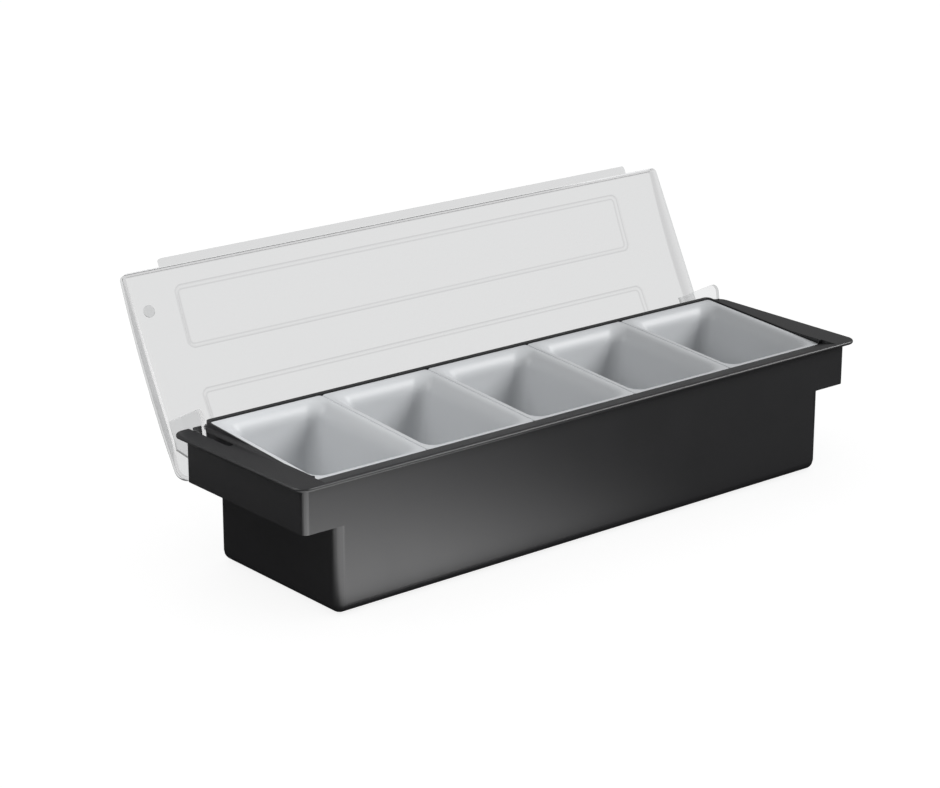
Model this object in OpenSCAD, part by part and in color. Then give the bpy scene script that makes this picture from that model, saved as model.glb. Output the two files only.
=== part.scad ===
// Condiment caddy: black tub with five lift-out inserts under one clear flip lid.
// X runs along the tub, Y to its rear and Z up. The origin is on the ground under the tub's centre.
// The lid is drawn open, as it leans back past the vertical, and closes forward about its hinge pins.

/* [Deck] */
// Length of the deck
deck_l = 500; // [410:5:600]
// Depth of the deck from front to rear
deck_w = 143; // [118:1:172]
// Height of the deck's top above the ground
deck_z = 95; // [79:1:115]
// Thickness of the deck, which has half-round edges
deck_t = 2.8; // [2.2:0.2:3.6]
// Corner radius of the deck in plan
deck_r = 9; // [6:1:14]

/* [Tub] */
// How far the deck reaches past the tub's front and rear walls
lip_over = 6.3; // [4:0.1:8]
// How far the deck reaches past the outer wall of each ear
ear_over = 7; // [4:0.5:10]
// How far each ear reaches past the end of the tub
ear_l = 24.5; // [22:0.1:25]
// Height of the ears, from their lower edge to the deck's top
ear_h = 33.5; // [30:0.5:38]
// Wall thickness of the tub and ears
wall = 2.5; // [2:0.1:3]
// Thickness of the tub's floor
floor_t = 3; // [2.6:0.1:4]
// Radius of the tub's upright and lower edges
tub_r = 7; // [5:0.5:10]
// Radius of the ears' upright edges
ear_r = 4; // [3:0.5:6]

/* [Insert row] */
// Width of the bare deck past each end of the row
row_end = 22.5; // [20:0.5:26]
// Depth of the strip in front of the row
row_front = 16.8; // [14:0.1:20]
// Depth of the strip behind the row
row_rear = 11.2; // [10:0.1:14]
// Forward tilt of the row in degrees
row_tilt = 4; // [2:0.5:5]
// Height of the row's centre above the deck
row_rise = 1; // [0.5:0.1:2]
// How far the raised rim stands above the inserts
rim_proud = 0.9; // [0.5:0.1:1.5]
// Thickness of the raised rim
rim_t = 2.5; // [2:0.1:3]
// The same at the ends of the row
end_rim_t = 1.2; // [1:0.1:1.6]
// Radius of the fillet between the deck and the rim's ends
end_fillet_r = 3.3; // [2:0.1:4]
// Width of the ledge that the inserts hang on
ledge_w = 3; // [2.4:0.1:3.4]
// Thickness of that ledge
ledge_t = 2.2; // [1.8:0.1:3]

/* [Insert] */
// Depth of an insert below its rim
insert_h = 56; // [46:1:64]
// Width of an insert's flat rim
flange_w = 3.7; // [3.5:0.1:4.4]
// Thickness of that rim
flange_t = 1.8; // [1.4:0.1:2.2]
// Outer corner radius of the rim
insert_r = 2.5; // [1:0.5:5]
// Wall thickness of an insert
insert_t = 1.5; // [1.2:0.1:1.7]
// Corner radius of the mouth
mouth_r = 11; // [9:0.5:13]
// Height of the flared mouth
flare_h = 9; // [7:0.5:12]
// How much the mouth narrows on each side
flare_w = 6.8; // [6.6:0.1:8]
// Draft of the walls below the mouth, per mm of depth
insert_draft = 0.16; // [0.14:0.01:0.18]
// Radius between the walls and the floor
insert_floor_r = 5; // [3:0.5:8]

/* [Lid] */
// Distance of the lid's ends from the deck's ends
lid_end = 8.5; // [8:0.5:10]
// Thickness of the clear sheet
sheet_t = 2; // [1.6:0.1:2.4]
// Height of the front edge's top above the deck when the lid is closed
lid_front_h = 6; // [5:0.5:8]
// The same at the rear edge
lid_rear_h = 8.8; // [8.6:0.1:10]
// How far the sheet's middle bulges above a straight line between the two
lid_bulge = 4.2; // [3:0.1:6]
// Radius of the lid's front corners
lid_front_r = 4; // [3:0.5:6]
// Radius of the lid's rear corners
lid_rear_r = 9; // [6:0.5:11]
// Raised panels: distance of the first from the front edge
panel_front = 12.9; // [10:0.1:16]
// Distance between the panels
panel_gap = 28; // [22:1:34]
// Distance of the second from the rear edge
panel_rear = 14.7; // [13:0.1:20]
// Distance of both from the lid's ends
panel_end = 41; // [36:1:50]
// Height of the panels
panel_h = 1.6; // [1:0.1:2.2]
// Corner radius of the panels
panel_r = 5; // [3:0.5:8]
// Width of the finger lip along the front edge
grip_w = 5.8; // [4:0.2:8]
// Distance of the finger lip from the lid's ends
grip_end = 30.6; // [24:0.2:40]
// Diameter of the round boss inside one front corner
boss_d = 8.5; // [6:0.5:12]

/* [Hinge] */
// Distance of the pins' axis in front of the deck's rear edge
hinge_in = 12.4; // [12:0.1:13]
// Depth of the axis below the deck's top
hinge_drop = 18.2; // [17.5:0.1:19]
// Distance of each arm's middle from the deck's end
arm_end = 16; // [14.5:0.1:16.5]
// Thickness of an arm
arm_t = 3; // [2.4:0.1:3.4]
// Reach of an arm in front of the axis
arm_reach = 31.1; // [28:0.1:34]
// Width of an arm where it meets the sheet
arm_root = 19.1; // [14:0.1:22]
// Radius of an arm round its pin
arm_lug = 5.5; // [4.6:0.1:6]
// Width of the slots that the arms move in
slot_w = 4.8; // [4.2:0.1:5.4]
// Pin diameter
pin_d = 4; // [3:0.5:4.5]
// Diameter of the pin's head
pin_head_d = 6.2; // [5.5:0.1:6.6]
// Angle from closed to fully open in degrees
open_angle = 117.5; // [100:0.5:120]

/* [Feet] */
// Diameter of a rubber foot
foot_d = 16; // [12:1:20]
// How far the feet stand out of the underside
foot_proud = 1; // [0.6:0.1:2]
// Depth of the recesses that hold them
foot_seat = 1.4; // [1:0.1:1.6]
// Distance of the feet from the tub's ends and sides
foot_in = 22; // [18:1:30]

/* [Clearances] */
// Gap round the row of inserts, and between two inserts
row_gap = 0.4; // [0.3:0.1:0.6]
// Gap under the closed lid
lid_gap = 0.3; // [0.3:0.1:0.6]
// Gap between the open lid's arms and their stops
stop_gap = 0.2; // [0.1:0.1:0.4]
// Radial clearance of a pin in the tub's bosses
seat_clear = 0.02; // [0.01:0.01:0.05]
// Radial clearance of a pin in its arm
run_clear = 0.06; // [0.03:0.01:0.1]
// Radial clearance of a foot in its recess
foot_clear = 0.15; // [0.1:0.05:0.3]

/* [Hidden] */
$fn = 64;
eps = 0.01;
past = 20;

inserts = 5;
body_z = foot_proud;
ear_z = deck_z - ear_h;
deck_low = deck_z - deck_t;
tub_w = deck_w - 2 * lip_over;
ear_x = deck_l / 2 - ear_over;
tub_l = 2 * (ear_x - ear_l);
row_l = deck_l - 2 * row_end;
row_d = (deck_w - row_front - row_rear) / cos(row_tilt);
row_y = (row_front - row_rear) / 2;
row_z = deck_z + row_rise;
pitch = row_l / inserts;
seat_l = row_l + 2 * row_gap;
seat_d = row_d + 2 * row_gap;
hold_l = seat_l + 2 * rim_t;
hold_d = seat_d + 2 * rim_t;
wall_l = seat_l + 2 * end_rim_t;
ledge_r = mouth_r - 1;

rim_l = pitch - row_gap;

lid_l = deck_l - 2 * lid_end;
lid_w = deck_w;
lid_lift = hinge_drop + lid_gap;
lid_rear_y = hinge_in - 2;
lid_front_y = lid_rear_y - lid_w;
arm_x = deck_l / 2 - arm_end;
pin_y = deck_w / 2 - hinge_in;
pin_z = deck_z - hinge_drop;
tip_z = ear_z + 0.5 - pin_z;
slot_y = pin_y - arm_reach - 0.8;
sweep_r = norm([hinge_in, hinge_drop]) + 0.6;
pin_in_x = hold_l / 2 - rim_t;
pin_tip_x = ear_x - wall - 0.8;
pin_head_t = 1.2;

function sheet_top(y) =
    let (s = (y - lid_front_y) / lid_w)
    lid_lift + lid_front_h + s * (lid_rear_h - lid_front_h) + 4 * lid_bulge * s * (1 - s);

// Points where straight edges leave the arm's round ends, with the pin's axis as origin
function polar(r, a) = [r * cos(a), r * sin(a)];
tip_r = 5;
tip_c = [tip_r - arm_reach, tip_z + tip_r];
root_y = arm_root - arm_reach;
root_p = [root_y, sheet_top(root_y) - sheet_t / 2];
lug_a = atan2(root_p[1], root_p[0]) - acos(arm_lug / norm(root_p));
low_a = atan2(tip_c[1], tip_c[0]) + acos((arm_lug - tip_r) / norm(tip_c)) + 360;

// The open lid's arms rest on the bottoms of the notches in the rear wall
stop_a = lug_a - open_angle;
stop_y = tub_w / 2 - wall - pin_y;
notch_z = pin_z + (arm_lug - stop_y * cos(stop_a)) / sin(stop_a) - stop_gap;

// Flat shapes
module rounded_rect(l, w, r) {
    square([l - 2 * r, w], center = true);
    square([l, w - 2 * r], center = true);
    for (x = [-1, 1], y = [-1, 1])
        translate([x * (l / 2 - r), y * (w / 2 - r)]) circle(r);
}

module slab(l, w, h, r) {
    linear_extrude(h) rounded_rect(l, w, r);
}

// Turns a flat shape, drawn in Y and Z, into a bar centred along X
module along_x(length) {
    rotate([90, 0, 90]) linear_extrude(length, center = true) children();
}

// Turns a flat shape, drawn in X and Z, into a bar centred along Y
module along_y(length) {
    rotate([90, 0, 0]) linear_extrude(length, center = true) children();
}

// A side view of a box, l wide, from z = 0 up, with its two lower corners rounded
module cradle(l, h, r) {
    translate([-l / 2, r]) square([l, h - r]);
    translate([-l / 2 + r, 0]) square([l - 2 * r, r + eps]);
    for (x = [-1, 1]) translate([x * (l / 2 - r), r]) circle(r);
}

// A box from z = 0 up with rounded upright and lower edges
module soft_box(l, w, h, r) {
    intersection() {
        slab(l, w, h, r);
        along_x(l + 1) cradle(w, h, r);
        along_y(w + 1) cradle(l, h, r);
    }
}

// A plate from z = 0 up with half-round edges
module lip_plate(l, w, t, r) {
    core_r = r - t / 2;
    slab(l - t, w - t, t, core_r);
    for (y = [-1, 1]) translate([0, y * (w - t) / 2, t / 2])
        rotate([0, 90, 0]) cylinder(h = l - 2 * r, r = t / 2, center = true);
    for (x = [-1, 1]) translate([x * (l - t) / 2, 0, t / 2])
        rotate([90, 0, 0]) cylinder(h = w - 2 * r, r = t / 2, center = true);
    for (x = [-1, 1], y = [-1, 1]) translate([x * (l / 2 - r), y * (w / 2 - r), t / 2])
        rotate_extrude() translate([core_r, 0]) circle(t / 2);
}

// Moves children to the tilted plane of the inserts' rims, with the row's centre as origin
module on_row() {
    translate([0, row_y, row_z]) rotate([row_tilt, 0, 0]) children();
}

module at_both_ends() {
    children();
    mirror([1, 0, 0]) children();
}

// Base
module base_shell() {
    translate([0, 0, body_z]) soft_box(tub_l, tub_w, deck_low - body_z + 1, tub_r);
    translate([0, 0, ear_z]) slab(2 * ear_x, tub_w, deck_low - ear_z + 1, ear_r);
    translate([0, 0, deck_low]) lip_plate(deck_l, deck_w, deck_t, deck_r);
    intersection() {
        on_row() translate([0, 0, -past]) slab(wall_l, hold_d, past + rim_proud, insert_r + row_gap + end_rim_t);
        translate([0, 0, ear_z]) slab(deck_l, tub_w, 2 * past + ear_h, ear_r);
    }
    at_both_ends() intersection() {
        end_fillet();
        on_row() translate([0, -hold_d / 2, -past]) cube([deck_l, hold_d, past + rim_proud]);
    }
}

// Where the deck's end rises to the rim of the tilted row
module end_fillet() {
    r = end_fillet_r;
    x0 = wall_l / 2 - 0.1;
    z0 = deck_z - 0.1;
    translate([0, row_y, 0]) along_y(hold_d) polygon(concat(
        [[x0 - 1, z0 + r], [x0 - 1, z0 - 1], [x0 + r, z0 - 1]],
        [for (a = [270:-15:180]) [x0 + r + r * cos(a), z0 + r + r * sin(a)]]
    ));
}

// Space inside the tub: a narrow lower part and a wide part between the ears
module base_cavity() {
    inner_w = tub_w - 2 * wall;
    translate([0, 0, body_z + floor_t])
        soft_box(tub_l - 2 * wall, inner_w, ear_z - body_z, tub_r - wall);
    intersection() {
        translate([0, 0, ear_z + wall]) slab(seat_l, inner_w, ear_h, tub_r - wall);
        on_row() translate([0, 0, -flange_t - ledge_t - 2 * ear_h])
            cube([deck_l, 2 * deck_w, 4 * ear_h], center = true);
    }
}

// Hollow under each ear, open downward
module ear_hollow() {
    x0 = hold_l / 2;
    x1 = ear_x - wall;
    y1 = tub_w / 2 - wall;
    translate([x0, -y1, ear_z - past]) cube([x1 - x0, 2 * y1, deck_low - ear_z + past]);
}

// Pocket for the inserts' rims, the mouth under it and the sloping front strip
module row_seat() {
    on_row() translate([0, 0, -flange_t]) slab(seat_l, seat_d, past, insert_r + row_gap);
    on_row() translate([0, 0, -past]) slab(seat_l - 2 * ledge_w, seat_d - 2 * ledge_w, past, ledge_r);
    front_y = row_y - row_d / 2;
    low_z = row_z - (row_d / 2 + row_gap) * sin(row_tilt) + 0.2;
    along_x(wall_l)
        polygon([[2.5 - deck_w / 2, deck_z], [front_y, low_z], [front_y, deck_z + past], [2.5 - deck_w / 2, deck_z + past]]);
}

module hinge_slot() {
    x0 = arm_x - slot_w / 2;
    translate([x0, slot_y, deck_low - 1]) cube([slot_w, deck_w, deck_t + past]);
    translate([x0, tub_w / 2 - wall - 1, notch_z]) cube([slot_w, deck_w, deck_z]);
    translate([arm_x, slot_y, deck_low - 1]) cylinder(d = slot_w, h = deck_t + past);
}

module hinge_bosses() {
    low_x = hold_l / 2 - 1;
    high_x = ear_x - wall / 2;
    translate([low_x, pin_y, pin_z]) rotate([0, 90, 0])
        cylinder(h = arm_x - slot_w / 2 - low_x, r = arm_lug - 1);
    translate([arm_x + slot_w / 2, pin_y, pin_z]) rotate([0, 90, 0])
        cylinder(h = high_x - arm_x - slot_w / 2, r = arm_lug - 1);
}

// Bore for a pin, with room for its head
module pin_bore() {
    translate([pin_in_x - past, pin_y, pin_z]) rotate([0, 90, 0]) {
        cylinder(h = pin_tip_x + 0.3 - pin_in_x + past, d = pin_d + 2 * seat_clear);
        cylinder(h = past, d = pin_head_d + 0.6);
    }
}

module at_feet() {
    for (x = [-1, 1], y = [-1, 1])
        translate([x * (tub_l / 2 - foot_in), y * (tub_w / 2 - foot_in), 0]) children();
}

module base() {
    color("#1b1b1d") difference() {
        union() {
            difference() {
                base_shell();
                base_cavity();
                at_both_ends() ear_hollow();
                row_seat();
            }
            at_both_ends() hinge_bosses();
        }
        at_both_ends() hinge_slot();
        at_both_ends() pin_bore();
        at_feet() translate([0, 0, body_z - 1])
            cylinder(h = foot_seat + 1, d = foot_d + 2 * foot_clear);
    }
}

// Insert: its origin is the middle of its rim's top
module ring(depth, inset, r) {
    translate([0, 0, -depth]) linear_extrude(eps)
        rounded_rect(rim_l - 2 * inset, row_d - 2 * inset, r, $fn = 32);
}

// Space inside the insert, or with its wall around it
module insert_shape(grow) {
    edge = flange_w - grow;
    lip = grow / 2;
    foot = edge + flare_w + insert_draft * (insert_h - flare_h);
    low = insert_h - insert_t + grow;
    r = mouth_r + grow;
    hull() {
        ring(lip, edge, r);
        ring(lip + 0.3 * flare_h, edge + 0.55 * flare_w, r - 0.5);
    }
    hull() {
        ring(lip + 0.3 * flare_h, edge + 0.55 * flare_w, r - 0.5);
        ring(lip + flare_h, edge + flare_w, r - 1.5);
    }
    hull() {
        ring(lip + flare_h, edge + flare_w, r - 1.5);
        ring(low - insert_floor_r, foot, r - 3);
        ring(low - 0.3 * insert_floor_r, foot + 0.3 * insert_floor_r, r - 4);
        ring(low, foot + insert_floor_r, r - 6);
    }
}

module insert() {
    difference() {
        union() {
            translate([0, 0, -flange_t]) slab(rim_l, row_d, flange_t, insert_r);
            insert_shape(insert_t);
        }
        insert_shape(0);
    }
}

module place_insert(i) {
    color("#d7dbe0") on_row() translate([(i - (inserts + 1) / 2) * pitch, 0, 0]) insert();
}

module insert_1() { place_insert(1); }
module insert_2() { place_insert(2); }
module insert_3() { place_insert(3); }
module insert_4() { place_insert(4); }
module insert_5() { place_insert(5); }

// Lid: drawn closed, with the hinge axis as origin, Y to the rear
steps = 28;
lid_ys = [for (i = [0:steps]) lid_front_y - 1 + i * (lid_w + 2) / steps];

// Side view of all that lies under the sheet's top, raised by an offset
module under_sheet(rise) {
    polygon(concat(
        [[lid_front_y - 1, 0], [lid_rear_y + 1, 0]],
        [for (i = [steps:-1:0]) [lid_ys[i], sheet_top(lid_ys[i]) + rise]]
    ));
}

module lid_plan(inset) {
    y0 = lid_front_y + inset;
    y1 = lid_rear_y;
    hl = lid_l / 2 - inset;
    r0 = max(lid_front_r - inset, 1);
    r1 = lid_rear_r;
    for (x = [-1, 1]) {
        translate([x * (hl - r0), y0 + r0]) circle(r0);
        translate([x * (hl - r1), y1 - r1]) circle(r1);
    }
    translate([-hl, y0 + r0]) square([2 * hl, y1 - r1 - y0 - r0]);
    translate([-hl + r0, y0]) square([2 * (hl - r0), r0 + 1]);
    translate([-hl + r1, y1 - r1 - 1]) square([2 * (hl - r1), r1 + 1]);
}

module panel_plan(inset) {
    panel_w = (lid_w - panel_front - panel_gap - panel_rear) / 2;
    for (y = [lid_front_y + panel_front, lid_front_y + panel_front + panel_w + panel_gap])
        translate([0, y + panel_w / 2])
            rounded_rect(lid_l - 2 * (panel_end + inset), panel_w - 2 * inset, panel_r - inset);
}

module lid_sheet() {
    difference() {
        union() {
            intersection() {
                translate([0, 0, lid_lift]) linear_extrude(past) lid_plan(0);
                along_x(lid_l + 1) under_sheet(0);
            }
            intersection() {
                translate([0, 0, lid_lift + lid_front_h - sheet_t]) linear_extrude(past) panel_plan(0);
                along_x(lid_l + 1) under_sheet(panel_h);
            }
        }
        intersection() {
            translate([0, past, 0]) translate([0, 0, lid_lift - 1]) linear_extrude(past) lid_void();
            along_x(lid_l + 1) under_sheet(-sheet_t);
        }
        intersection() {
            translate([0, 0, lid_lift]) linear_extrude(past) panel_plan(sheet_t);
            along_x(lid_l + 1) under_sheet(panel_h - sheet_t);
        }
        at_both_ends() translate([lid_l / 2 - 2 * sheet_t, 0, 0]) rotate([0, 90, 0])
            cylinder(h = past, r = sweep_r);
    }
}

// Plan of the space between the skirts, open to the rear, drawn shifted forward
module lid_void() {
    hl = lid_l / 2 - sheet_t;
    y0 = lid_front_y + sheet_t - past;
    r = max(lid_front_r - sheet_t, 1);
    for (x = [-1, 1]) translate([x * (hl - r), y0 + r]) circle(r);
    translate([-hl, y0 + r]) square([2 * hl, lid_w + past]);
    translate([-hl + r, y0]) square([2 * (hl - r), r + 1]);
}

module finger_lip() {
    l = lid_l - 2 * grip_end;
    translate([0, lid_front_y, lid_lift]) linear_extrude(sheet_t + 0.2) intersection() {
        translate([0, sheet_t - grip_w]) rounded_rect(l, 2 * grip_w, 2);
        translate([-l / 2 - 1, -grip_w]) square([l + 2, grip_w + sheet_t]);
    }
}

module arm() {
    difference() {
        along_x(arm_t) {
            circle(arm_lug);
            translate(tip_c) circle(tip_r);
            polygon([
                [-arm_reach, sheet_top(-arm_reach) - sheet_t / 2],
                root_p,
                polar(arm_lug, lug_a),
                polar(arm_lug, low_a),
                tip_c + polar(tip_r, low_a),
                [-arm_reach, tip_c[1]]
            ]);
        }
        rotate([0, 90, 0]) cylinder(h = 2 * arm_t, d = pin_d + 2 * run_clear, center = true);
    }
}

module corner_boss() {
    y = lid_front_y + 26.6;
    translate([16.3 - lid_l / 2, y, sheet_top(y) - sheet_t - 0.8]) cylinder(h = 1.6, d = boss_d);
}

module lid() {
    color([0.92, 0.94, 0.95, 0.45]) translate([0, pin_y, pin_z]) rotate([-open_angle, 0, 0]) {
        lid_sheet();
        finger_lip();
        at_both_ends() translate([arm_x, 0, 0]) arm();
        corner_boss();
    }
}

// Small parts
module hinge_pin() {
    translate([pin_in_x, pin_y, pin_z]) rotate([0, 90, 0]) {
        cylinder(h = pin_tip_x - pin_in_x, d = pin_d);
        translate([0, 0, -pin_head_t]) cylinder(h = pin_head_t, d = pin_head_d);
    }
}

module foot() {
    rotate_extrude() polygon([
        [0, 0], [foot_d / 2 - 0.6, 0], [foot_d / 2, 0.6],
        [foot_d / 2, foot_proud + foot_seat], [0, foot_proud + foot_seat]
    ]);
}

module place_foot(x, y) {
    color("#2a2a2a") translate([x * (tub_l / 2 - foot_in), y * (tub_w / 2 - foot_in), 0]) foot();
}

module hinge_pin_left() { color("#c4c7ca") mirror([1, 0, 0]) hinge_pin(); }
module hinge_pin_right() { color("#c4c7ca") hinge_pin(); }
module foot_front_left() { place_foot(-1, -1); }
module foot_front_right() { place_foot(1, -1); }
module foot_rear_left() { place_foot(-1, 1); }
module foot_rear_right() { place_foot(1, 1); }

base();
lid();
insert_1();
insert_2();
insert_3();
insert_4();
insert_5();
hinge_pin_left();
hinge_pin_right();
foot_front_left();
foot_front_right();
foot_rear_left();
foot_rear_right();
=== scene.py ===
"""Condiment caddy: black tub, five lift-out inserts and a clear flip lid that stands open."""

import math

import bmesh
import bpy
from mathutils import Matrix, Vector


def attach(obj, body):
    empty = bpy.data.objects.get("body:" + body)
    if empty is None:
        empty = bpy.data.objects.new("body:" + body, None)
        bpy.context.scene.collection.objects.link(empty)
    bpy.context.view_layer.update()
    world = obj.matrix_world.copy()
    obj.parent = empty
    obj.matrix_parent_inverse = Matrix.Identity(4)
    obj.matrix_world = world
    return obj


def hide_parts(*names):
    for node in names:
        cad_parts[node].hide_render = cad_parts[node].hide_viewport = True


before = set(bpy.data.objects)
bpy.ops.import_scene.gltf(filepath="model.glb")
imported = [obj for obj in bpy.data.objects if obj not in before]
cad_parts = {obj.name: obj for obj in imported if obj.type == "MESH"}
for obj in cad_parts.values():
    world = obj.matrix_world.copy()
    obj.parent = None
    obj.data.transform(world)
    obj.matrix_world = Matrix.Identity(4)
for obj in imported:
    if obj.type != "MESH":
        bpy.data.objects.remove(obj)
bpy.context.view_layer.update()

MM = 0.001

# Sizes in mm, as the CAD has them.
PIVOT_Y, PIVOT_Z = 59.1, 76.8  # the hinge axis
OPEN_ANGLE = 117.5

# The row of inserts: its tilt and middle, the distance from one insert to the next, and a rim's outline
ROW_TILT = 4.0
ROW_Y, ROW_Z = 2.8, 96.0
PITCH = 91.0
INSERTS, MIDDLE_INSERT = 5, 3
RIM_L, RIM_W = 90.6, 115.28

# The lid, worked out closed with the hinge axis as origin
LID_HALF = 241.5
LID_FRONT, LID_REAR = -132.6, 10.4
LID_LIFT = 18.5  # height of the front skirt's lower edge above the axis
FRONT_H, REAR_RISE, BULGE = 6.0, 2.8, 4.2
REAR_SKIRT = 0.4  # the rear edge has only this much skirt below its fillet
SHEET = 2.0
SWEEP = 22.62  # radius inside which the turning lid would meet the deck
ARM_X, ARM_T, PIN_HOLE_R = 234.0, 3.0, 2.06
LIP_HALF, LIP_W, LIP_T = 210.9, 5.8, 2.2


# ---------------------------------------------------------------- materials

def shader_group(name, inputs, outputs):
    """An empty node group with named inputs (name, default) and named outputs."""
    group = bpy.data.node_groups.new(name, "ShaderNodeTree")
    for label, value in inputs:
        socket = group.interface.new_socket(label, in_out="INPUT", socket_type="NodeSocketFloat")
        socket.default_value = value
    for label in outputs:
        group.interface.new_socket(label, in_out="OUTPUT", socket_type="NodeSocketFloat")
    return group, group.nodes.new("NodeGroupInput"), group.nodes.new("NodeGroupOutput")


def noise(tree, coords, scale, detail=2.0, rough=0.5):
    node = tree.nodes.new("ShaderNodeTexNoise")
    node.inputs["Scale"].default_value = scale
    node.inputs["Detail"].default_value = detail
    node.inputs["Roughness"].default_value = rough
    tree.links.new(coords, node.inputs["Vector"])
    return node.outputs["Fac"]


def math_node(tree, operation, a, b, clamp=False):
    node = tree.nodes.new("ShaderNodeMath")
    node.operation = operation
    node.use_clamp = clamp
    for socket, value in zip(node.inputs, (a, b)):
        if isinstance(value, (int, float)):
            socket.default_value = value
        else:
            tree.links.new(value, socket)
    return node.outputs[0]


def moulded_surface():
    """Fine grain with slow waves as height, and handling marks as a change of roughness."""
    group, given, out = shader_group(
        "moulded_surface",
        [("Grain size", 2500.0), ("Grain", 0.4), ("Waves", 0.6), ("Marks", 0.1), ("Roughness", 0.4)],
        ["Height", "Roughness"],
    )
    coords = group.nodes.new("ShaderNodeTexCoord").outputs["Object"]
    grain_noise = group.nodes.new("ShaderNodeTexNoise")
    group.links.new(coords, grain_noise.inputs["Vector"])
    group.links.new(given.outputs["Grain size"], grain_noise.inputs["Scale"])
    grain_noise.inputs["Detail"].default_value = 3.0
    grain = math_node(group, "MULTIPLY", grain_noise.outputs["Fac"], given.outputs["Grain"])
    waves = math_node(group, "MULTIPLY", noise(group, coords, 14.0, 1.0), given.outputs["Waves"])
    group.links.new(math_node(group, "ADD", grain, waves), out.inputs["Height"])
    cloud = math_node(group, "SUBTRACT", noise(group, coords, 22.0, 5.0, 0.62), 0.5)
    marks = math_node(group, "MULTIPLY", cloud, given.outputs["Marks"])
    group.links.new(math_node(group, "ADD", given.outputs["Roughness"], marks, True), out.inputs["Roughness"])
    return group


MOULDED = moulded_surface()


RELIEF_DEPTH = 0.0001


def plastic(name, color, roughness, grain, waves, marks, specular=0.5):
    """An opaque material with the shared moulded surface."""
    mat = bpy.data.materials.new(name)
    mat.use_nodes = True
    tree = mat.node_tree
    shader = tree.nodes["Principled BSDF"]
    shader.inputs["Base Color"].default_value = (*color, 1.0)
    shader.inputs["Specular IOR Level"].default_value = specular
    surface = tree.nodes.new("ShaderNodeGroup")
    surface.node_tree = MOULDED
    for label, value in (("Grain", grain), ("Waves", waves), ("Marks", marks), ("Roughness", roughness)):
        surface.inputs[label].default_value = value
    tree.links.new(surface.outputs["Roughness"], shader.inputs["Roughness"])
    relief = tree.nodes.new("ShaderNodeBump")
    relief.inputs["Strength"].default_value = 1.0
    relief.inputs["Distance"].default_value = RELIEF_DEPTH
    tree.links.new(surface.outputs["Height"], relief.inputs["Height"])
    tree.links.new(relief.outputs["Normal"], shader.inputs["Normal"])
    return mat


def clear_plastic(name, tint, bend_shade_tint=None):
    """Clear moulded plastic, with painted shade where the sheet bends: a darker tint in place of the dark
    lines light makes at the bends.

    Its shadow is faint, and light that reflects to and fro inside it is let out after the first time.
    """
    mat = plastic(name, tint, 0.06, grain=0.05, waves=0.5, marks=0.05)
    tree = mat.node_tree
    shader = tree.nodes["Principled BSDF"]
    shader.inputs["IOR"].default_value = 1.15
    shader.inputs["Transmission Weight"].default_value = 1.0
    light = tree.nodes.new("ShaderNodeLightPath")
    let_through = math_node(tree, "MULTIPLY", light.outputs["Is Shadow Ray"], 0.9)
    first_glints = math_node(tree, "LESS_THAN", light.outputs["Glossy Depth"], 1.5)
    shade = math_node(tree, "SUBTRACT", 1.0, let_through)
    tree.links.new(math_node(tree, "MULTIPLY", shade, first_glints), shader.inputs["Alpha"])
    # Painted shade: the mesh's bend attribute mixes in the darker tint along the bends.
    if bend_shade_tint:
        bend_shade = tree.nodes.new("ShaderNodeAttribute")
        bend_shade.attribute_name = "bend_shade"
        mix = tree.nodes.new("ShaderNodeMix")
        mix.data_type = "RGBA"
        mix.inputs["A"].default_value = (*tint, 1.0)
        mix.inputs["B"].default_value = (*bend_shade_tint, 1.0)
        tree.links.new(bend_shade.outputs["Fac"], mix.inputs["Factor"])
        tree.links.new(mix.outputs["Result"], shader.inputs["Base Color"])
    return mat


black = plastic("black_plastic", (0.010, 0.010, 0.011), 0.42, grain=0.5, waves=0.5, marks=0.12)
white = plastic("white_plastic", (0.50, 0.513, 0.527), 0.40, grain=0.12, waves=0.4, marks=0.06,
                specular=0.4)
# The lid's second tint is painted shade along its bends.
clear = clear_plastic("clear_plastic", (0.725, 0.728, 0.73), (0.5, 0.5, 0.505))
clear_thin = clear_plastic("clear_plastic_thin", (0.82, 0.823, 0.825))
# Painted shade: a darker tint for the arms' edge faces, in place of the dark outlines light makes there.
clear_edge_shade = clear_plastic("clear_plastic_edge_shade", (0.45, 0.453, 0.455))
steel = plastic("stainless", (0.62, 0.62, 0.63), 0.3, grain=0.3, waves=0.1, marks=0.1)
steel.node_tree.nodes["Principled BSDF"].inputs["Metallic"].default_value = 1.0
rubber = plastic("foot_rubber", (0.02, 0.02, 0.02), 0.75, grain=0.8, waves=0.3, marks=0.08)


# ---------------------------------------------------------------- mesh helpers

def finish_piece(bm, name, mat, body, node, transform=None, bevel=0.0, bevel_angle=35.0,
                 flat_area=math.inf, edge_shade_mat=None):
    """Turns a bmesh in mm into an object in metres that stands for a CAD node.

    Faces are shaded smooth up to flat_area in square mm. Edges sharper than bevel_angle are rounded.
    Faces with material number 1 get edge_shade_mat, a second material that paints shade on edges.
    """
    if transform is not None:
        bmesh.ops.transform(bm, matrix=transform, verts=bm.verts)
    for face in bm.faces:
        face.smooth = face.calc_area() < flat_area
    bmesh.ops.scale(bm, vec=(MM, MM, MM), verts=bm.verts)
    bmesh.ops.recalc_face_normals(bm, faces=bm.faces)
    mesh = bpy.data.meshes.new(name)
    bm.to_mesh(mesh)
    bm.free()
    mesh.materials.append(mat)
    if edge_shade_mat:
        mesh.materials.append(edge_shade_mat)
    obj = bpy.data.objects.new(name, mesh)
    bpy.context.scene.collection.objects.link(obj)
    if bevel:
        rounding = obj.modifiers.new("rounded edges", "BEVEL")
        rounding.width = bevel * MM
        rounding.segments = 2
        rounding.limit_method = "ANGLE"
        rounding.angle_limit = math.radians(bevel_angle)
        rounding.harden_normals = True
    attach(obj, body)
    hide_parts(node)
    return obj


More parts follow.
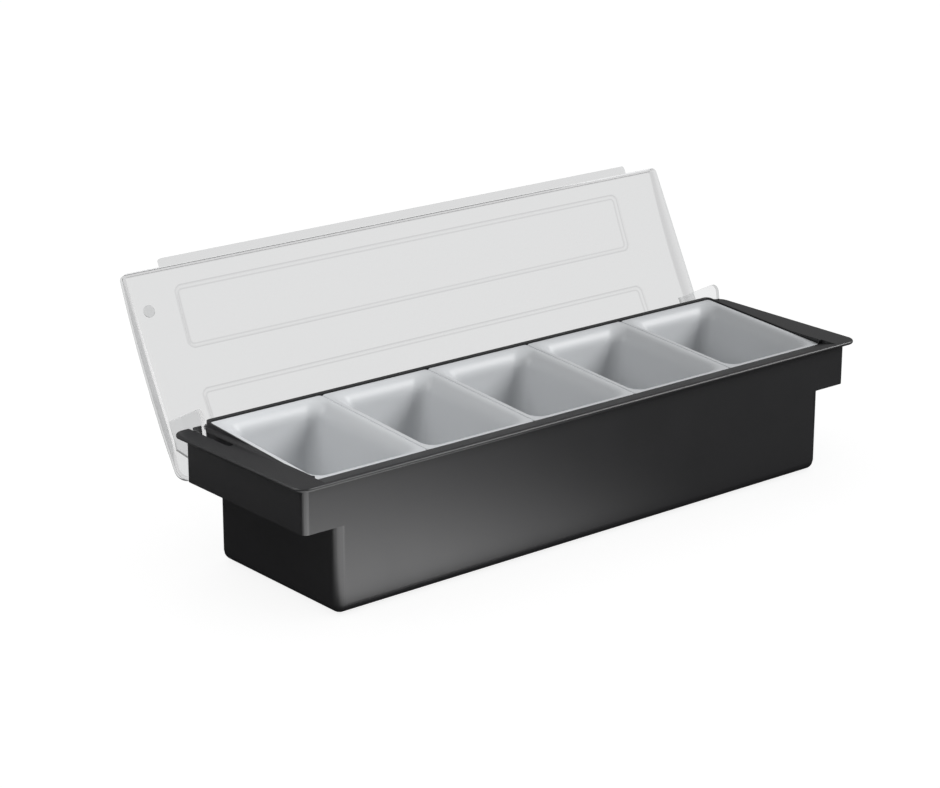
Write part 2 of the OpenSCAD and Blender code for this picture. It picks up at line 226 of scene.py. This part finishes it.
# ---------------------------------------------------------------- inserts

ARC = 12  # steps in each rounded corner
GUARD = 1.2  # length of the short straight piece on both sides of a corner


def corner_places():
    """Each corner's points as (step along the arc, -1 before it, 1 after it or 0 on it)."""
    return [(0, -1)] + [(k, 0) for k in range(ARC + 1)] + [(ARC, 1)]


def ring_point(half_l, half_w, radius, z, place):
    """Point number place on a rounded rectangle, counted round its four corners."""
    quarter, k = divmod(place, ARC + 3)
    step, side = corner_places()[k]
    angle = (quarter + step / ARC) * math.pi / 2
    sx = 1 if quarter in (0, 3) else -1
    sy = 1 if quarter in (0, 1) else -1
    x = sx * (half_l - radius) + radius * math.cos(angle)
    y = sy * (half_w - radius) + radius * math.sin(angle)
    along = Vector((-math.sin(angle), math.cos(angle)))
    return Vector((x + side * GUARD * along.x, y + side * GUARD * along.y, z))


def loft(bm, rings):
    """Draws a first ring of edges through ring after ring, and closes both ends."""
    count = 4 * (ARC + 3)
    mark = bm.verts.layers.int.new("place")
    first = bmesh.ops.create_circle(bm, cap_ends=False, radius=1.0, segments=count)["verts"]
    for v in first:
        v[mark] = round(math.atan2(v.co.y, v.co.x) / math.tau * count) % count
        v.co = ring_point(*rings[0], v[mark])
    loop = list(bm.edges)
    ends = [loop]
    for ring in rings[1:]:
        made = bmesh.ops.extrude_edge_only(bm, edges=loop)["geom"]
        loop = [e for e in made if isinstance(e, bmesh.types.BMEdge)]
        for v in made:
            if isinstance(v, bmesh.types.BMVert):
                v.co = ring_point(*ring, v[mark])
    ends.append(loop)
    for end in ends:
        bmesh.ops.contextual_create(bm, geom=end)


def bezier(p0, p1, p2, p3, n):
    """The n + 1 points of a curve from p0 to p3."""
    pts = []
    for i in range(n + 1):
        t = i / n
        k = ((1 - t) ** 3, 3 * t * (1 - t) ** 2, 3 * t * t * (1 - t), t ** 3)
        pts.append(tuple(sum(w * p[j] for w, p in zip(k, (p0, p1, p2, p3))) for j in range(3)))
    return pts


def insert_profile():
    """(inset from the rim's edge, height, corner radius), from the outside bottom over the rim and in."""
    outside = [(21.5, -56.0, 7.5), (18.9, -55.4, 8.3), (17.0, -53.6, 9.0), (16.2, -51.0, 9.5),
               (16.0, -49.5, 9.7), (9.6, -11.5, 11.4), (9.2, -9.5, 11.5), (8.2, -6.6, 11.8),
               (6.4, -4.0, 12.2), (4.2, -1.9, 12.4), (3.6, -1.8, 12.4)]
    rim = [(0.5, -1.8, 2.2), (0.12, -1.65, 2.4), (0.0, -1.3, 2.5), (0.0, -0.75, 2.5),
           (0.1, -0.4, 2.4), (0.35, -0.12, 2.2), (0.7, 0.0, 1.9), (1.0, 0.0, 1.9)]
    flare = bezier((1.9, -0.03, 9.0), (5.4, -0.2, 10.6), (9.2, -4.2, 10.4), (10.6, -10.4, 9.7), 12)
    inside = [(10.9, -12.2, 9.5), (17.3, -48.0, 8.2), (17.6, -49.6, 8.1), (18.1, -51.6, 7.8),
              (19.3, -53.6, 7.2), (20.9, -54.4, 6.4), (22.8, -54.5, 5.4)]
    return outside + rim + flare + inside


def make_insert(number):
    bm = bmesh.new()
    loft(bm, [(RIM_L / 2 - inset, RIM_W / 2 - inset, radius, z) for inset, z, radius in insert_profile()])
    place = Matrix.Translation((0, ROW_Y, ROW_Z)) @ Matrix.Rotation(math.radians(ROW_TILT), 4, "X")
    place = place @ Matrix.Translation(((number - MIDDLE_INSERT) * PITCH, 0, 0))
    name = f"insert_{number}"
    return finish_piece(bm, f"{name}_tray", white, name, name, place)


for i in range(INSERTS):
    make_insert(i + 1)


# ---------------------------------------------------------------- lid

LID_OPEN = Matrix.Translation((0, PIVOT_Y, PIVOT_Z)) @ Matrix.Rotation(math.radians(-OPEN_ANGLE), 4, "X")
EDGE_R = 2.5  # radius between the sheet and its skirts
PANEL_X, PANEL_R, PANEL_H, PANEL_SLOPE = 201.0, 6.0, 1.3, 2.8
PANELS = [(LID_FRONT + 12.9, LID_FRONT + 56.6), (LID_FRONT + 84.6, LID_FRONT + 128.3)]
CORNER_R = {"front": 4.0 - EDGE_R, "rear": 9.0 - EDGE_R}
BEND_SHADE_REACH = 0.9  # how far the painted shade of a bend reaches from its middle
# Number of fine steps across a panel's border, and how far they reach to its outside and inside
FINE_STEPS, FINE_OUT, FINE_IN = 13, 0.5, 7
# How deep the bend's painted shade is on the edge fillet and on the skirts, and its share on the sheet's
# other face
EDGE_BEND_SHADE, SKIRT_BEND_SHADE, BACK_BEND_SHADE = 0.8, 0.15, 0.3


def dome(y):
    """Height of the sheet's outer face, without the panels."""
    s = (y - LID_FRONT) / (LID_REAR - LID_FRONT)
    return LID_LIFT + FRONT_H + REAR_RISE * s + 4 * BULGE * s * (1 - s)


def panel_step(x, y):
    """Height of the two raised panels with gently sloping sides, and the weight of painted shade along the
    bends at their borders.
    """
    height = bend_shade = 0.0
    for y0, y1 in PANELS:
        qx = abs(x) - (PANEL_X - PANEL_R)
        qy = abs(y - (y0 + y1) / 2) - ((y1 - y0) / 2 - PANEL_R)
        outside = math.hypot(max(qx, 0), max(qy, 0)) + min(max(qx, qy), 0) - PANEL_R
        t = min(max(-outside / PANEL_SLOPE, 0), 1)
        height = max(height, PANEL_H * t * t * (3 - 2 * t))
        if outside < BEND_SHADE_REACH / 2:
            bend_shade = max(bend_shade, 1 - min(abs(outside), abs(outside + PANEL_SLOPE)) / BEND_SHADE_REACH)
    return height, bend_shade


def spread(stops):
    """Numbers along a line from (start, end, count) stretches."""
    values = []
    for start, end, count in stops:
        values += [start + (end - start) * k / count for k in range(count)]
    return values + [stops[-1][1]]


def quarter_disc(u, v):
    """Moves a point of the unit square so that the square becomes a quarter disc."""
    reach = max(u, v)
    if reach == 0:
        return 0.0, 0.0
    angle = (math.pi / 4) * (v / u) if u >= v else math.pi / 2 - (math.pi / 4) * (u / v)
    return reach * math.cos(angle), reach * math.sin(angle)


def lid_border(x, y):
    """Outward direction in plan at a point of the sheet's border."""
    x0 = LID_HALF - EDGE_R
    for end, y0, sign in (("front", LID_FRONT + EDGE_R, -1), ("rear", LID_REAR - EDGE_R, 1)):
        r = CORNER_R[end]
        dx, dy = abs(x) - (x0 - r), sign * (y - (y0 - sign * r))
        if dx > -1e-4 and dy > -1e-4:
            n = Vector((math.copysign(dx, x), sign * dy, 0))
            return n.normalized() if n.length > 1e-6 else Vector((math.copysign(1, x), 0, 0))
    if abs(x) > x0 - 1e-3:
        return Vector((math.copysign(1, x), 0, 0))
    return Vector((0, -1 if y < -60 else 1, 0))


def skirt_foot(x, y, normal):
    """Height of the skirt's lower edge: on the deck in front, and clear of it as the lid turns behind."""
    highest = dome(y) - EDGE_R - REAR_SKIRT
    if normal.y > 0.6 and abs(x) < LID_HALF - 6:
        return highest
    sweep = math.sqrt(max(SWEEP ** 2 - y * y, 0)) if y > -SWEEP else 0.0
    return min(max(LID_LIFT, sweep), highest)


def lid_sheet():
    """The domed sheet with its panels, skirts and finger lip."""
    hx, y0, y1 = LID_HALF - EDGE_R, LID_FRONT + EDGE_R, LID_REAR - EDGE_R
    half = spread([(0, 180, 6), (180, PANEL_X - FINE_IN, 2),
                   (PANEL_X - FINE_IN, PANEL_X + FINE_OUT, FINE_STEPS), (PANEL_X + FINE_OUT, LIP_HALF, 2),
                   (LIP_HALF, hx - CORNER_R["rear"], 3), (hx - CORNER_R["rear"], hx, 6)])
    xs = [-v for v in reversed(half[1:])] + half
    stretches = [(y0, y0 + CORNER_R["front"], 3)]
    for (near, far), steps_before in zip(PANELS, (2, 6)):
        stretches += [(stretches[-1][1], near - FINE_OUT, steps_before),
                      (near - FINE_OUT, near + FINE_IN, FINE_STEPS), (near + FINE_IN, far - FINE_IN, 5),
                      (far - FINE_IN, far + FINE_OUT, FINE_STEPS)]
    stretches += [(stretches[-1][1], y1 - CORNER_R["rear"], 2), (y1 - CORNER_R["rear"], y1, 6)]
    ys = spread(stretches)
    bm = bmesh.new()
    # Painted shade along the bends, which the lid's material turns into a darker tint.
    bend_shade = bm.verts.layers.float.new("bend_shade")
    bmesh.ops.create_grid(bm, x_segments=len(xs) - 1, y_segments=len(ys) - 1, size=1.0)
    for v in bm.verts:
        x = xs[round((v.co.x + 1) / 2 * (len(xs) - 1))]
        y = ys[round((v.co.y + 1) / 2 * (len(ys) - 1))]
        for end, edge, sign in (("front", y0, -1), ("rear", y1, 1)):
            r = CORNER_R[end]
            cx, cy = hx - r, edge - sign * r
            u, w = (abs(x) - cx) / r, sign * (y - cy) / r
            if u > 0 and w > 0:
                u, w = quarter_disc(min(u, 1), min(w, 1))
                x, y = math.copysign(cx + r * u, x), cy + sign * r * w
        rise, v[bend_shade] = panel_step(x, y)
        v.co = (x, y, dome(y) + rise)
    loop = [e for e in bm.edges if e.is_boundary]
    way = bm.verts.layers.float_vector.new("outward")
    base = bm.verts.layers.float_vector.new("start")
    for v in {v for e in loop for v in e.verts}:
        v[way] = lid_border(v.co.x, v.co.y)
        v[base] = v.co
    angles = [k * math.pi / 8 for k in (1, 2, 3)]
    rings = [(EDGE_R * math.sin(a), EDGE_R * (1 - math.cos(a))) for a in angles]
    rings += [(EDGE_R, EDGE_R), (EDGE_R, "lip"), (EDGE_R, "foot")]
    for out, drop in rings:
        made = bmesh.ops.extrude_edge_only(bm, edges=loop)["geom"]
        loop = [e for e in made if isinstance(e, bmesh.types.BMEdge)]
        for v in made:
            if not isinstance(v, bmesh.types.BMVert):
                continue
            start = v[base]
            at = start + v[way] * out
            foot = skirt_foot(at.x, at.y, v[way])
            if drop == "foot":
                at.z = foot
            elif drop == "lip":
                at.z = max(foot + 0.15, min(LID_LIFT + LIP_T, start.z - EDGE_R - 0.1))
            else:
                at.z = start.z - drop
            v.co = at
            # Painted shade on the edge fillet and the skirts.
            v[bend_shade] = EDGE_BEND_SHADE if isinstance(drop, float) else SKIRT_BEND_SHADE
    bmesh.ops.recalc_face_normals(bm, faces=bm.faces)
    if sum(f.normal.z for f in bm.faces if f.calc_center_median().z > LID_LIFT + 8) < 0:
        bmesh.ops.reverse_faces(bm, faces=bm.faces)
    drawn = set(bm.verts)
    bmesh.ops.solidify(bm, geom=bm.faces[:], thickness=SHEET)
    # Less painted shade on the sheet's other face.
    for v in bm.verts:
        if v not in drawn:
            v[bend_shade] *= BACK_BEND_SHADE
    bmesh.ops.recalc_face_normals(bm, faces=bm.faces)
    strip = []
    for f in bm.faces:
        c = f.calc_center_median()
        on_front = abs(c.y - LID_FRONT) < 0.05 and f.normal.y < -0.9
        if on_front and c.z < LID_LIFT + LIP_T and abs(c.x) < LIP_HALF:
            strip.append(f)
    lip = bmesh.ops.extrude_face_region(bm, geom=strip)["geom"]
    bmesh.ops.delete(bm, geom=strip, context="FACES")
    moved = [v for v in lip if isinstance(v, bmesh.types.BMVert)]
    bmesh.ops.translate(bm, vec=(0, -LIP_W, 0), verts=moved)

    def at_lip_end(v):
        return abs(v.co.y - LID_FRONT + LIP_W) < 0.01 and abs(abs(v.co.x) - LIP_HALF) < 0.01

    ends = [e for e in bm.edges if all(at_lip_end(v) for v in e.verts)]
    bmesh.ops.bevel(bm, geom=ends, offset=2.0, segments=5, profile=0.5, affect="EDGES", material=-1)
    return finish_piece(bm, "lid_sheet", clear, "lid", "lid", LID_OPEN,
                        bevel=0.3, bevel_angle=50)


def lid_arm(side):
    """A flat arm under the sheet: from its root down to its toe and back to the lug round the pin."""
    bm = bmesh.new()
    lug, toe_r, toe = 5.5, 5.0, Vector((0, -26.1, -9.8))
    root = Vector((0, -12.0, dome(-12.0) - SHEET + 0.3))
    corner = Vector((0, -31.1, dome(-31.1) - SHEET + 0.3))
    back = math.atan2(root.z, root.y) - math.acos(lug / math.hypot(root.y, root.z))
    low = math.atan2(toe.z, toe.y) + math.acos((lug - toe_r) / math.hypot(toe.y, toe.z)) + math.tau
    while low > back:
        low -= math.tau
    start = last = bm.verts.new(root)

    def draw_to(point):
        nonlocal last
        last = bmesh.ops.extrude_vert_indiv(bm, verts=[last])["verts"][0]
        last.co = point

    def draw_arc(centre, angle, steps):
        nonlocal last
        made = bmesh.ops.spin(bm, geom=[last], cent=centre, axis=(1, 0, 0), angle=angle, steps=steps,
                              use_duplicate=False)
        last = next(v for v in made["geom_last"] if isinstance(v, bmesh.types.BMVert))

    draw_to(Vector((0, lug * math.cos(back), lug * math.sin(back))))
    draw_arc((0, 0, 0), low - back, 22)
    draw_to(toe + Vector((0, toe_r * math.cos(low), toe_r * math.sin(low))))
    turn = -math.pi - (low if low > -math.pi else low + math.tau)
    while turn < -math.pi:
        turn += math.tau
    draw_arc(toe, turn if turn < 0 else turn - math.tau, 8)
    draw_to(corner)
    bmesh.ops.contextual_create(bm, geom=[last, start])
    bmesh.ops.create_circle(bm, cap_ends=False, radius=PIN_HOLE_R, segments=28,
                            matrix=Matrix.Rotation(math.pi / 2, 4, "Y"))
    bmesh.ops.remove_doubles(bm, verts=bm.verts, dist=1e-4)
    bmesh.ops.triangle_fill(bm, edges=bm.edges[:], use_beauty=True)
    made = bmesh.ops.extrude_face_region(bm, geom=bm.faces[:])["geom"]
    bmesh.ops.translate(bm, vec=(ARM_T, 0, 0), verts=[v for v in made if isinstance(v, bmesh.types.BMVert)])
    bmesh.ops.translate(bm, vec=(side * ARM_X - ARM_T / 2, 0, 0), verts=bm.verts)
    bm.normal_update()
    # The arm's edge faces take the second material, with painted shade.
    for face in bm.faces:
        face.material_index = int(abs(face.normal.x) < 0.5)
    name = "lid_arm_left" if side < 0 else "lid_arm_right"
    return finish_piece(bm, name, clear_thin, "lid", "lid", LID_OPEN,
                        bevel=0.45, bevel_angle=40, edge_shade_mat=clear_edge_shade)


def lid_boss():
    """The small round boss inside one front corner of the lid."""
    bm = bmesh.new()
    x, y, radius = -225.2, -106.0, 4.25
    under = dome(y) - SHEET
    bmesh.ops.create_cone(bm, cap_ends=True, segments=40, radius1=radius, radius2=radius, depth=1.1,
                          matrix=Matrix.Translation((x, y, under - 0.25)))
    rims = [e for e in bm.edges if abs(e.verts[0].co.z - e.verts[1].co.z) < 1e-4]
    bmesh.ops.bevel(bm, geom=rims, offset=0.25, segments=2, profile=0.5, affect="EDGES", material=-1)
    return finish_piece(bm, "lid_boss", clear_thin, "lid", "lid", LID_OPEN)


lid_pieces = [lid_sheet(), lid_arm(-1), lid_arm(1), lid_boss()]


# ---------------------------------------------------------------- tub

TUB_R = 7.0
TUB_BALL = Vector((211.5, 58.2, 8.0))  # middle of the ball in the right rear corner


def cut(bm, faces, point, normal):
    """Splits faces along a plane."""
    edges = dict.fromkeys(e for f in faces for e in f.edges)
    geom = faces + list(edges) + list(dict.fromkeys(v for e in edges for v in e.verts))
    bmesh.ops.bisect_plane(bm, geom=geom, plane_co=point, plane_no=normal, dist=0.002)


def round_lower_corners(bm):
    """Rounds the tub's lower corners to balls, where the CAD has three crossing fillets."""
    cut(bm, bm.faces[:], TUB_BALL, (0, 0, 1))
    for sign in (-1, 1):
        for normal in ((1, 0, 0), (0, 1, 0)):
            low = [f for f in bm.faces if all(v.co.z < TUB_BALL.z + 0.01 for v in f.verts)]
            cut(bm, low, (sign * TUB_BALL.x, sign * TUB_BALL.y, TUB_BALL.z), normal)
    for sx, sy in ((-1, -1), (-1, 1), (1, -1), (1, 1)):
        centre = Vector((sx * TUB_BALL.x, sy * TUB_BALL.y, TUB_BALL.z))

        def in_corner(face):
            return all(sx * (v.co.x - centre.x) > -0.01 and sy * (v.co.y - centre.y) > -0.01
                       and v.co.z < centre.z + 0.01 for v in face.verts)

        for k in range(1, 8):
            a = k * math.pi / 16
            cut(bm, [f for f in bm.faces if in_corner(f)], centre, (-sy * math.sin(a), sx * math.cos(a), 0))
        for v in {v for f in bm.faces if in_corner(f) for v in f.verts}:
            away = v.co - centre
            if away.length > TUB_R:
                v.co = centre + away * (TUB_R / away.length)


def tub_shell():
    """A merged copy of the CAD's tub with rounded corners and edges."""
    bm = bmesh.new()
    bm.from_mesh(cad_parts["base"].data)
    bmesh.ops.scale(bm, vec=(1 / MM, 1 / MM, 1 / MM), verts=bm.verts)
    bmesh.ops.remove_doubles(bm, verts=bm.verts, dist=0.003)
    bmesh.ops.dissolve_limit(bm, angle_limit=math.radians(0.3), verts=bm.verts, edges=bm.edges)
    round_lower_corners(bm)
    return finish_piece(bm, "tub_shell", black, "caddy", "base",
                        bevel=0.4, bevel_angle=30.0, flat_area=60.0)


def paint(node, mat):
    """Gives a CAD node that shows as it is its material."""
    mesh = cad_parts[node].data
    mesh.materials.clear()
    mesh.materials.append(mat)


tub_shell()
for side in ("left", "right"):
    paint(f"hinge_pin_{side}", steel)
    for end in ("front", "rear"):
        paint(f"foot_{end}_{side}", rubber)


# ---------------------------------------------------------------- stage, light and camera

def make_floor():
    """A plain white table that is lit from below as well, so that shadows on it stay faint."""
    mat = bpy.data.materials.new("floor_white")
    mat.use_nodes = True
    shader = mat.node_tree.nodes["Principled BSDF"]
    shader.inputs["Base Color"].default_value = (0.4, 0.4, 0.4, 1.0)
    shader.inputs["Roughness"].default_value = 1.0
    shader.inputs["Specular IOR Level"].default_value = 0.0
    shader.inputs["Emission Color"].default_value = (1.0, 1.0, 1.0, 1.0)
    shader.inputs["Emission Strength"].default_value = 0.86
    bm = bmesh.new()
    bmesh.ops.create_grid(bm, x_segments=1, y_segments=1, size=12.0)
    mesh = bpy.data.meshes.new("floor")
    bm.to_mesh(mesh)
    bm.free()
    mesh.materials.append(mat)
    floor = bpy.data.objects.new("floor", mesh)
    bpy.context.scene.collection.objects.link(floor)
    return floor


def left_unlit(objects):
    """A collection of what the lamps leave out."""
    group = bpy.data.collections.new("not_lit_by_lamps")
    for obj in objects:
        group.objects.link(obj)
    for member in group.collection_objects:
        member.light_linking.link_state = "EXCLUDE"
    return group


def aim(lamp, place, target):
    lamp.location = place
    lamp.rotation_euler = (Vector(target) - Vector(place)).to_track_quat("-Z", "Y").to_euler()
    bpy.context.scene.collection.objects.link(lamp)


def area_light(name, place, target, size, power, unlit):
    """A soft lamp that lights the caddy and leaves the floor evenly white."""
    data = bpy.data.lights.new(name, "AREA")
    data.shape = "RECTANGLE"
    data.size, data.size_y = size
    data.energy = power
    lamp = bpy.data.objects.new(name, data)
    lamp.visible_camera = False
    lamp.light_linking.receiver_collection = unlit
    aim(lamp, place, target)


def soft_sun(name, place, strength, spread_angle, unlit):
    """An even light from one side, for the caddy alone."""
    data = bpy.data.lights.new(name, "SUN")
    data.energy = strength
    data.angle = math.radians(spread_angle)
    lamp = bpy.data.objects.new(name, data)
    lamp.light_linking.receiver_collection = unlit
    aim(lamp, place, (0, 0, 0))


def reflection_card(name, span_x, span_y, centre, reach, near, far):
    """A card flat on the floor that shows only in glossy reflections.

    Its light changes from near at the centre to far at the given reach along X and Y.
    """
    mat = bpy.data.materials.new(name)
    mat.use_nodes = True
    tree = mat.node_tree
    shader = tree.nodes["Principled BSDF"]
    shader.inputs["Base Color"].default_value = (0.0, 0.0, 0.0, 1.0)
    shader.inputs["Specular IOR Level"].default_value = 0.0
    shader.inputs["Emission Strength"].default_value = 1.0
    coords = tree.nodes.new("ShaderNodeTexCoord")
    shrink = tree.nodes.new("ShaderNodeVectorMath")
    shrink.operation = "DIVIDE"
    shrink.inputs[1].default_value = (*reach, 1.0)
    tree.links.new(coords.outputs["Object"], shrink.inputs[0])
    away = tree.nodes.new("ShaderNodeVectorMath")
    away.operation = "LENGTH"
    tree.links.new(shrink.outputs["Vector"], away.inputs[0])
    fade = tree.nodes.new("ShaderNodeMapRange")
    fade.interpolation_type = "SMOOTHSTEP"
    fade.inputs["To Min"].default_value = near
    fade.inputs["To Max"].default_value = far
    tree.links.new(away.outputs["Value"], fade.inputs["Value"])
    tree.links.new(fade.outputs["Result"], shader.inputs["Emission Color"])
    light = tree.nodes.new("ShaderNodeLightPath")
    outside_lid = math_node(tree, "SUBTRACT", 1.0, light.outputs["Transmission Depth"], True)
    tree.links.new(outside_lid, shader.inputs["Alpha"])
    bm = bmesh.new()
    bmesh.ops.create_grid(bm, x_segments=1, y_segments=1, size=1.0)
    for v in bm.verts:
        v.co.x = span_x[v.co.x > 0] - centre[0]
        v.co.y = span_y[v.co.y > 0] - centre[1]
    mesh = bpy.data.meshes.new(name)
    bm.to_mesh(mesh)
    bm.free()
    mesh.materials.append(mat)
    card = bpy.data.objects.new(name, mesh)
    card.location = (*centre, 0.0005)
    card.visible_camera = card.visible_diffuse = card.visible_transmission = False
    card.visible_shadow = card.visible_volume_scatter = False
    bpy.context.scene.collection.objects.link(card)


def make_world(low, high):
    """A studio that is dim near the floor and bright above."""
    world = bpy.data.worlds.new("studio")
    world.use_nodes = True
    tree = world.node_tree
    background = tree.nodes["Background"]
    background.inputs["Color"].default_value = (1.0, 1.0, 1.0, 1.0)
    coords = tree.nodes.new("ShaderNodeTexCoord")
    split = tree.nodes.new("ShaderNodeSeparateXYZ")
    tree.links.new(coords.outputs["Generated"], split.inputs["Vector"])
    rise = tree.nodes.new("ShaderNodeMapRange")
    rise.inputs["From Min"].default_value = 0.1
    rise.inputs["From Max"].default_value = 0.9
    rise.inputs["To Min"].default_value = low
    rise.inputs["To Max"].default_value = high
    tree.links.new(split.outputs["Z"], rise.inputs["Value"])
    tree.links.new(rise.outputs["Result"], background.inputs["Strength"])
    bpy.context.scene.world = world


CAMERA_AT = (-1.14711, -1.31944, 0.66088)
CAMERA_YAW, CAMERA_PITCH, CAMERA_ROLL = 0.69090, 0.31710, 0.0007
CAMERA_FOCUS_PX, PHOTO_WIDTH_PX = 2670.91, 940
SENSOR_MM = 36.0


def make_camera():
    """The camera that was fitted to the photo. Yaw turns to the right of +Y, and pitch looks down."""
    forward = Vector((math.sin(CAMERA_YAW) * math.cos(CAMERA_PITCH),
                      math.cos(CAMERA_YAW) * math.cos(CAMERA_PITCH), -math.sin(CAMERA_PITCH)))
    right = Vector((math.cos(CAMERA_YAW), -math.sin(CAMERA_YAW), 0.0))
    up = right.cross(forward)
    x = right * math.cos(CAMERA_ROLL) + up * math.sin(CAMERA_ROLL)
    y = -right * math.sin(CAMERA_ROLL) + up * math.cos(CAMERA_ROLL)
    data = bpy.data.cameras.new("camera")
    data.sensor_width = SENSOR_MM
    data.lens = CAMERA_FOCUS_PX / PHOTO_WIDTH_PX * SENSOR_MM
    data.clip_end = 60.0
    cam = bpy.data.objects.new("camera", data)
    rows = [(x[i], y[i], -forward[i], CAMERA_AT[i]) for i in range(3)]
    cam.matrix_world = Matrix((*rows, (0, 0, 0, 1)))
    bpy.context.scene.collection.objects.link(cam)
    bpy.context.scene.camera = cam


# The lamps would glare in the clear lid, and they would shade the floor.
unlit = left_unlit([make_floor(), *lid_pieces])
make_world(0.25, 0.50)
soft_sun("key", (0.72, -0.55, 0.52), 2.8, 30, unlit)
area_light("left_lamp", (-0.44, 0.1, 0.42), (-0.1, 0.0, 0.08), (0.25, 0.25), 1.1, unlit)
reflection_card("front_card", (-1.6, 1.6), (-1.6, -0.080), (-0.22, -0.10), (0.36, 0.30), 4.3, 0.11)
reflection_card("edge_card", (-0.6, 0.6), (-0.080, 0.0), (0.0, -0.07), (1.0, 1.0), 0.02, 0.02)
reflection_card("left_card", (-0.6, -0.2), (-0.066, 0.38), (-0.4, 0.1), (1.0, 1.0), 0.02, 0.02)
make_camera()
bpy.context.scene.view_settings.view_transform = "Standard"
